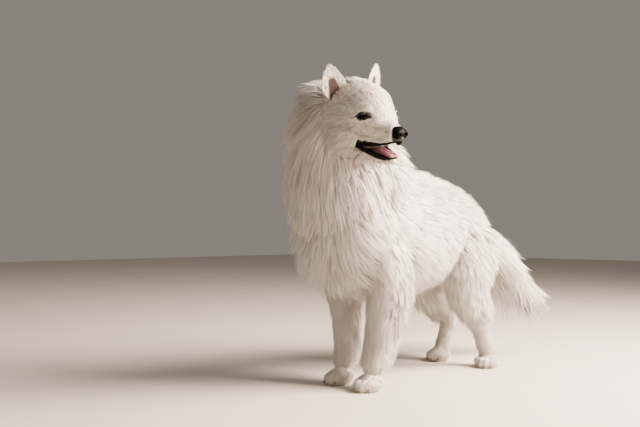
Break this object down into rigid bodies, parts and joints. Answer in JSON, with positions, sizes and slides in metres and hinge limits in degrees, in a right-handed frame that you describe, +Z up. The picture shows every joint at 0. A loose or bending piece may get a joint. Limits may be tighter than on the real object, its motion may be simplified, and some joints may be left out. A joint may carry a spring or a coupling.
{
  "type": "samoyed dog",
  "caption": "Life-size still model of a standing samoyed with a thick white coat, pricked ears, open smiling mouth, head turned to its left and a low plumed tail.",
  "frame": {"origin": "middle of the bottom of the bounding box, on the floor plane the paws stand on", "axes": "+Z up, -Y the way the body faces, +X towards the dog's left, which is also the side its head is turned to"},
  "size_m": [0.4194, 1.0656, 0.8131],
  "materials": {
    "white_coat": "matte long white hair, a little warmer at the nape and ears",
    "black_leather": "moist black nose leather",
    "dark_eye": "wet dark brown",
    "tongue": "moist pink"
  },
  "bodies": {
    "root": {"ear_left": "white_coat", "ear_right": "white_coat", "eye_left": "dark_eye", "eye_right": "dark_eye", "foreleg_left": "white_coat", "foreleg_right": "white_coat", "head": "white_coat", "hindleg_left": "white_coat", "hindleg_right": "white_coat", "hock_left": "white_coat", "hock_right": "white_coat", "lower_jaw": "white_coat", "neck": "white_coat", "nose": "black_leather", "paw_front_left": "white_coat", "paw_front_right": "white_coat", "paw_hind_left": "white_coat", "paw_hind_right": "white_coat", "tail": "white_coat", "tongue": "tongue", "torso": "white_coat"}
  },
  "joints": []
}
